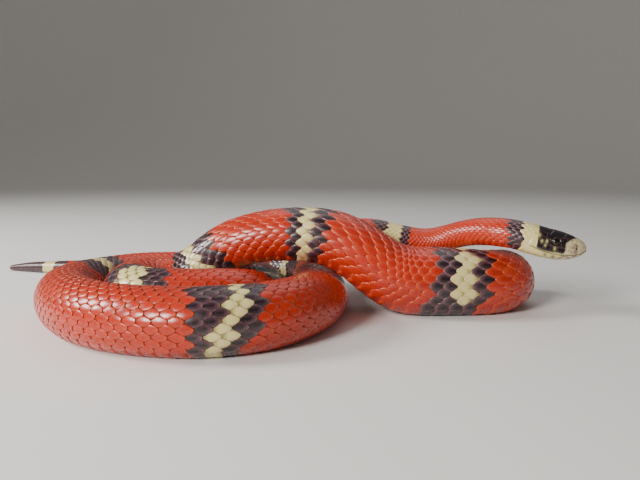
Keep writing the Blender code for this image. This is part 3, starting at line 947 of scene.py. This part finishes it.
def calculate(tree, operation, first, second, clamp=False):
    """One step of arithmetic on sockets or plain values."""
    node = add(tree, "ShaderNodeMath", operation=operation, use_clamp=clamp)
    for socket, value in zip(node.inputs, (first, second)):
        feed(tree, socket, value)
    return node.outputs[0]


def noise(tree, scale, detail=3.0, roughness=0.5):
    """Noise over the object's own coordinates, from 0 to 1."""
    node = add(tree, "ShaderNodeTexNoise", Scale=scale, Detail=detail, Roughness=roughness)
    place = tree.nodes.new("ShaderNodeTexCoord")
    tree.links.new(place.outputs["Object"], node.inputs["Vector"])
    return node.outputs[0]


MARKS = ("cream", "black", "snout", "rim", "dark", "tone", "bare", "root")
COLOURS = (
    "red", "deep_red", "cream", "cream_root", "black", "red_rim", "cream_rim", "black_rim", "snout",
)
# Painted shade: the near black painted into hollows, along the mouth line, round the eye's edge, in
# the nostrils and on the eyeball beyond the iris
HOLLOW_SHADE = (0.006, 0.004, 0.004, 1)

# Noises by scale, detail and roughness, and how far they and the seams count in the paint
BROAD_NOISE, FINE_NOISE, MOTTLE_NOISE = (90.0, 2.0), 1400.0, (620.0, 3.0, 0.6)
MOTTLE_ABOVE, MOTTLE_SHARPNESS, MOTTLE_SHARE, SEAM_MOTTLE = 0.50, 9.0, 0.8, 0.7
UNDER_SHARE = 0.25  # how far the skin between scales goes to the margin of a black one
ROUGH_LEAST, ROUGH_RANGE, FINE_HEIGHT = 0.20, 0.16, 0.4


def titled(key):
    """A key as a socket's name."""
    return key.replace("_", " ").title()


def scale_paint():
    """The group that colours skin and scales alike, from the marks that both carry."""
    tree = bpy.data.node_groups.new("scale paint", "ShaderNodeTree")
    sockets = [(titled(key) + " Mark", "INPUT", "Float") for key in MARKS]
    sockets += [(titled(key), "INPUT", "Color") for key in COLOURS]
    sockets += [("Colour", "OUTPUT", "Color")]
    sockets += [(name, "OUTPUT", "Float") for name in ("Roughness", "Height")]
    for name, way, kind in sockets:
        tree.interface.new_socket(name, in_out=way, socket_type="NodeSocket" + kind)
    given = tree.nodes.new("NodeGroupInput").outputs
    result = tree.nodes.new("NodeGroupOutput").inputs

    def mix(*parts):
        """A colour mix in which the group's own sockets go by name."""
        return mix_colour(tree, *(given[x] if isinstance(x, str) else x for x in parts))

    count = partial(calculate, tree)
    broad, fine = noise(tree, *BROAD_NOISE), noise(tree, FINE_NOISE)
    blotch = count("MULTIPLY", count("ADD", given["Tone Mark"], broad), 0.5)
    # The paler, pinker margin of a red scale is its own colour and partly painted sheen on its
    # edges
    red = mix("Rim Mark", mix(blotch, "Red", "Deep Red"), "Red Rim")
    cream = mix("Rim Mark", mix("Root Mark", "Cream", "Cream Root"), "Cream Rim")
    black = mix("Rim Mark", "Black", "Black Rim")
    mottle = count("SUBTRACT", noise(tree, *MOTTLE_NOISE), MOTTLE_ABOVE)
    mottle = count("MULTIPLY", mottle, MOTTLE_SHARPNESS, clamp=True)
    in_seams = count("MULTIPLY", given["Rim Mark"], SEAM_MOTTLE)
    mottle = count("MAXIMUM", count("MULTIPLY", mottle, MOTTLE_SHARE), in_seams)
    colour = mix("Black Mark", mix("Cream Mark", red, cream), black)
    colour = mix("Snout Mark", colour, mix(mottle, "Snout", "Black Rim"))
    colour = mix("Bare Mark", colour, mix(UNDER_SHARE, colour, "Black Rim"))
    # Painted shade: where the dark mark lies, the colour goes to the near black of a hollow
    tree.links.new(mix("Dark Mark", colour, HOLLOW_SHADE), result["Colour"])
    rough = count("ADD", count("MULTIPLY", fine, ROUGH_RANGE), ROUGH_LEAST)
    tree.links.new(rough, result["Roughness"])
    height = count("ADD", count("MULTIPLY", fine, FINE_HEIGHT), broad)
    tree.links.new(height, result["Height"])
    return tree


def principled(name, values):
    """A material, its tree and its shader's inputs, with the shader's own values set."""
    made = bpy.data.materials.new(name)
    made.use_nodes = True
    shader = made.node_tree.nodes["Principled BSDF"].inputs
    for key, value in values.items():
        shader[key].default_value = value
    return made, made.node_tree, shader


def scale_material(name, settings, group, bump):
    """Glossy keratin over the marks."""
    gloss = {"Specular IOR Level": 0.45, "Coat Weight": 0.30, "Coat Roughness": 0.24}
    made, tree, shader = principled(name, gloss)
    paint = add(tree, "ShaderNodeGroup", node_tree=group)
    for key in MARKS:
        mark = add(tree, "ShaderNodeAttribute", attribute_name=key)
        tree.links.new(mark.outputs["Fac"], paint.inputs[titled(key) + " Mark"])
    for key in COLOURS:
        paint.inputs[titled(key)].default_value = (*getattr(settings, key), 1.0)
    tree.links.new(paint.outputs["Colour"], shader["Base Color"])
    tree.links.new(paint.outputs["Roughness"], shader["Roughness"])
    relief = add(tree, "ShaderNodeBump", Strength=bump, Distance=0.06 * MM)
    tree.links.new(paint.outputs["Height"], relief.inputs["Height"])
    tree.links.new(relief.outputs["Normal"], shader["Normal"])
    return made


PUPIL = (0.002, 0.002, 0.002, 1)
EYE_SHADE, EYE_NOISE, EYE_GRAIN = (0.004, 0.003, 0.003, 1), 2600.0, 0.5

# Colours of the eye, by the angle from its pole as a share of a half turn
EYE_COLOURS = (
    (0.0, PUPIL),
    (0.165, PUPIL),
    (0.180, (0.075, 0.020, 0.008, 1)),
    (0.250, (0.034, 0.010, 0.005, 1)),
    (0.36, HOLLOW_SHADE),
)


def eye_material():
    """A round black pupil in a dark brown iris under a wet, clear shield."""
    wet = {"Specular IOR Level": 0.15, "Coat Weight": 0.55, "Coat Roughness": 0.03}
    made, tree, shader = principled("eye_shield", {"Roughness": 0.35, **wet})
    polar = add(tree, "ShaderNodeAttribute", attribute_name="polar")
    ramp = add(tree, "ShaderNodeValToRGB")
    tree.links.new(polar.outputs["Fac"], ramp.inputs["Fac"])
    stops = ramp.color_ramp.elements
    stops[0].position, stops[0].color = EYE_COLOURS[0]
    stops[1].position, stops[1].color = EYE_COLOURS[-1]
    for place, colour in EYE_COLOURS[1:-1]:
        stops.new(place).color = colour
    share = calculate(tree, "MULTIPLY", noise(tree, EYE_NOISE), EYE_GRAIN)
    colour = mix_colour(tree, share, ramp.outputs["Color"], EYE_SHADE)
    tree.links.new(colour, shader["Base Color"])
    return made


FLOOR_NOISE, FLOOR_GRAIN, FLOOR_GREY = (40.0, 4.0), 0.06, (0.5, 0.5, 0.5, 1)


def floor_material(colour):
    """Pale, even and dull, with the faintest grain."""
    dull = {"Roughness": 0.75, "Specular IOR Level": 0.2}
    made, tree, shader = principled("studio_floor", dull)
    share = calculate(tree, "MULTIPLY", noise(tree, *FLOOR_NOISE), FLOOR_GRAIN)
    tree.links.new(mix_colour(tree, share, (*colour, 1), FLOOR_GREY), shader["Base Color"])
    return made


def make_floor():
    """A round floor, flat as far as its inner radius, that then sweeps up in a quarter turn."""
    flat, sweep, columns = 1.3, 1.1, 96
    inner = np.linspace(0.05, flat, 12)
    turn = np.linspace(0, math.pi / 2, 16)[1:]
    radius = np.concatenate((inner, flat + sweep * np.sin(turn)))
    height = np.concatenate((np.zeros(len(inner)), sweep * (1 - np.cos(turn))))
    around = np.linspace(0, 2 * math.pi, columns, endpoint=False)
    x, y = radius[:, None] * np.cos(around), -radius[:, None] * np.sin(around)
    points = np.stack((x, y, np.broadcast_to(height[:, None], x.shape)), -1).reshape(-1, 3)
    faces = [grid_faces(len(radius), columns), fan(len(points), 0, columns)]
    return build_mesh("floor", np.concatenate((points, np.zeros((1, 3)))), faces, {})


# The soft lights: name, place, target, size and colour
LIGHTS = (
    ("key", (-0.40, -0.58, 0.36), (0.02, -0.02, 0.01), 0.20, (1.0, 0.97, 0.93)),
    ("side", (-0.66, -0.06, 0.42), (-0.02, -0.02, 0.01), 0.22, (1.0, 0.97, 0.94)),
    ("fill", (0.10, 0.35, 0.75), (0.0, 0.0, 0.01), 0.70, (0.97, 0.98, 1.0)),
)
AIR_COLOUR = (1.0, 0.99, 0.97, 1)


def soft_light(name, place, target, size, colour, power):
    """A square light that faces its target."""
    lamp = bpy.data.lights.new(name, "AREA")
    lamp.size, lamp.energy, lamp.color = size, power, colour
    made = put(name, lamp)
    made.location = place
    made.rotation_mode = "QUATERNION"
    made.rotation_quaternion = (Vector(target) - Vector(place)).to_track_quat("-Z", "Y")


def colour_property(name, description, default):
    """A colour that the user can change."""
    return FloatVectorProperty(
        name=name,
        description=description,
        default=default,
        size=3,
        min=0.0,
        max=1.0,
        subtype="COLOR",
    )


def number_property(name, description, default, **kind):
    """A power, an angle or a plain number that the user can change."""
    return FloatProperty(name=name, description=description, default=default, **kind)


def length_property(name, description, default):
    """A length that the user can change."""
    return number_property(name, description, default, unit="LENGTH")


class SnakeSettings(bpy.types.PropertyGroup):
    """Sizes and colours of the animal."""

    coat: length_property("Coat", "Depth of the scales over the skin", 0.35 * MM)
    rows: IntProperty(
        name="Rows", description="Rows of scales round the back and sides", default=21
    )
    pitch: length_property("Pitch", "Between scales of one row at full girth", FULL_PITCH)
    dorsal_edge: number_property(
        "Dorsal Edge", "Angle from the back where the belly plates begin, in degrees", 128.0
    )
    scale_lift: length_property("Scale Lift", "Height of a scale's tip over the skin", 0.30 * MM)
    skin_step: length_property("Skin Step", "Between the skin's rings on the body", 1.9 * MM)
    red: colour_property("Red", "Orange red of the wide bands", (0.50, 0.022, 0.003))
    deep_red: colour_property("Deep Red", "Darker red that mottles the bands", (0.34, 0.010, 0.002))
    cream: colour_property("Cream", "Pale rings", (0.72, 0.62, 0.27))
    cream_root: colour_property("Cream Root", "Hidden end of a cream scale", (0.33, 0.32, 0.07))
    black: colour_property("Black", "Black rings and head", (0.010, 0.005, 0.008))
    # Partly painted sheen: a red scale's margin is paler and pinker, standing in for the gloss on
    # its edges as well as its own colour
    red_rim: colour_property("Red Rim", "Margin of a red scale", (0.54, 0.060, 0.018))
    cream_rim: colour_property("Cream Rim", "Margin of a cream scale", (0.62, 0.50, 0.22))
    black_rim: colour_property("Black Rim", "Margin of a black scale", (0.19, 0.090, 0.100))
    snout: colour_property("Snout", "Pale shields of the snout", (0.60, 0.50, 0.28))


class StageSettings(bpy.types.PropertyGroup):
    """The plain studio and the camera."""

    floor: colour_property("Floor", "Colour of the floor", (0.82, 0.80, 0.77))
    key_power: number_property("Key Power", "Power of the main light", 6.6, unit="POWER")
    side_power: number_property("Side Power", "Power of the light from the left", 5.6, unit="POWER")
    fill_power: number_property("Fill Power", "Power of the light from above", 1.5, unit="POWER")
    sky: number_property("Sky", "Strength of the light from all round", 0.16)
    lens: number_property("Lens", "Focal length on a 36 mm sensor", 31.16)
    tilt: number_property(
        "Tilt", "How far the camera looks down", math.radians(7.8), subtype="ANGLE"
    )
    stand: FloatVectorProperty(
        name="Stand",
        description="Place of the camera",
        default=(38.757 * MM, -243.746 * MM, 62.04 * MM),
        size=3,
        subtype="TRANSLATION",
    )


def shared_group():
    """The paint group, made once."""
    return bpy.data.node_groups.get("scale paint") or scale_paint()


class MILKSNAKE_OT_skin(bpy.types.Operator):
    """One skin over head, neck, body and tail"""

    bl_idname = "milk_snake.skin"
    bl_label = "Build Skin"

    def execute(self, context):
        settings = context.scene.milk_snake
        piece = make_skin(Form(settings.coat), settings)
        piece.data.materials.append(scale_material("skin_paint", settings, shared_group(), 0.25))
        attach(piece, "root")
        flesh = [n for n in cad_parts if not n.startswith("eye")]
        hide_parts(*flesh)
        return {"FINISHED"}


class MILKSNAKE_OT_scales(bpy.types.Operator):
    """Rows of overlapping scales down the back and sides"""

    bl_idname = "milk_snake.scales"
    bl_label = "Build Scales"

    def execute(self, context):
        settings = context.scene.milk_snake
        look = scale_material("scale_paint", settings, shared_group(), 0.25)
        for piece in make_scales(Form(settings.coat), settings):
            piece.data.materials.append(look)
            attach(piece, "root")
        return {"FINISHED"}


class MILKSNAKE_OT_belly(bpy.types.Operator):
    """Broad plates across the belly and under the tail"""

    bl_idname = "milk_snake.belly"
    bl_label = "Build Belly Plates"

    def execute(self, context):
        settings = context.scene.milk_snake
        piece = make_belly_plates(Form(settings.coat), settings)
        piece.data.materials.append(scale_material("belly_paint", settings, shared_group(), 0.2))
        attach(piece, "root")
        return {"FINISHED"}


class MILKSNAKE_OT_eyes(bpy.types.Operator):
    """The two eyes under their clear shields"""

    bl_idname = "milk_snake.eyes"
    bl_label = "Build Eyes"

    def execute(self, context):
        form = Form(context.scene.milk_snake.coat)
        look = eye_material()
        for sign, word in ((-1, "left"), (1, "right")):
            piece = make_eye(form, sign, "eyeball_" + word)
            piece.data.materials.append(look)
            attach(piece, "root")
            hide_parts("eye_" + word)
        return {"FINISHED"}


class MILKSNAKE_OT_stage(bpy.types.Operator):
    """A pale floor, soft lights and the camera"""

    bl_idname = "milk_snake.stage"
    bl_label = "Build Stage"

    def execute(self, context):
        stage = context.scene.milk_snake_stage
        floor = make_floor()
        floor.data.materials.append(floor_material(stage.floor))
        for name, *aim in LIGHTS:
            soft_light(name, *aim, getattr(stage, name + "_power"))
        world = bpy.data.worlds.new("studio_air")
        world.use_nodes = True
        air = world.node_tree.nodes["Background"].inputs
        air["Color"].default_value, air["Strength"].default_value = AIR_COLOUR, stage.sky
        context.scene.world = world
        lens = bpy.data.cameras.new("viewer")
        lens.lens, lens.sensor_width = stage.lens, 36.0
        lens.clip_start, lens.clip_end = 0.01, 20.0
        camera = put("viewer", lens)
        camera.location = stage.stand
        camera.rotation_euler = (math.pi / 2 - stage.tilt, 0.0, 0.0)
        context.scene.camera = camera
        return {"FINISHED"}


class MILKSNAKE_PT_panel(bpy.types.Panel):
    """Lists the settings and the steps"""

    bl_label = "Milk Snake"
    bl_idname = "MILKSNAKE_PT_panel"
    bl_space_type = "VIEW_3D"
    bl_region_type = "UI"
    bl_category = "Milk Snake"

    def draw(self, context):
        layout = self.layout
        for settings in (context.scene.milk_snake, context.scene.milk_snake_stage):
            for key in settings.bl_rna.properties.keys():
                if key not in ("rna_type", "name"):
                    layout.prop(settings, key)
        for step in STEPS:
            layout.operator(step.bl_idname)


STEPS = (
    MILKSNAKE_OT_skin,
    MILKSNAKE_OT_scales,
    MILKSNAKE_OT_belly,
    MILKSNAKE_OT_eyes,
    MILKSNAKE_OT_stage,
)
CLASSES = (SnakeSettings, StageSettings, *STEPS, MILKSNAKE_PT_panel)


def register():
    for each in CLASSES:
        bpy.utils.register_class(each)
    bpy.types.Scene.milk_snake = PointerProperty(type=SnakeSettings)
    bpy.types.Scene.milk_snake_stage = PointerProperty(type=StageSettings)


def unregister():
    del bpy.types.Scene.milk_snake_stage
    del bpy.types.Scene.milk_snake
    for each in reversed(CLASSES):
        bpy.utils.unregister_class(each)


def main():
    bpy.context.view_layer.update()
    register()
    bpy.ops.milk_snake.skin()
    bpy.ops.milk_snake.scales()
    bpy.ops.milk_snake.belly()
    bpy.ops.milk_snake.eyes()
    bpy.ops.milk_snake.stage()


if __name__ == "__main__":
    main()
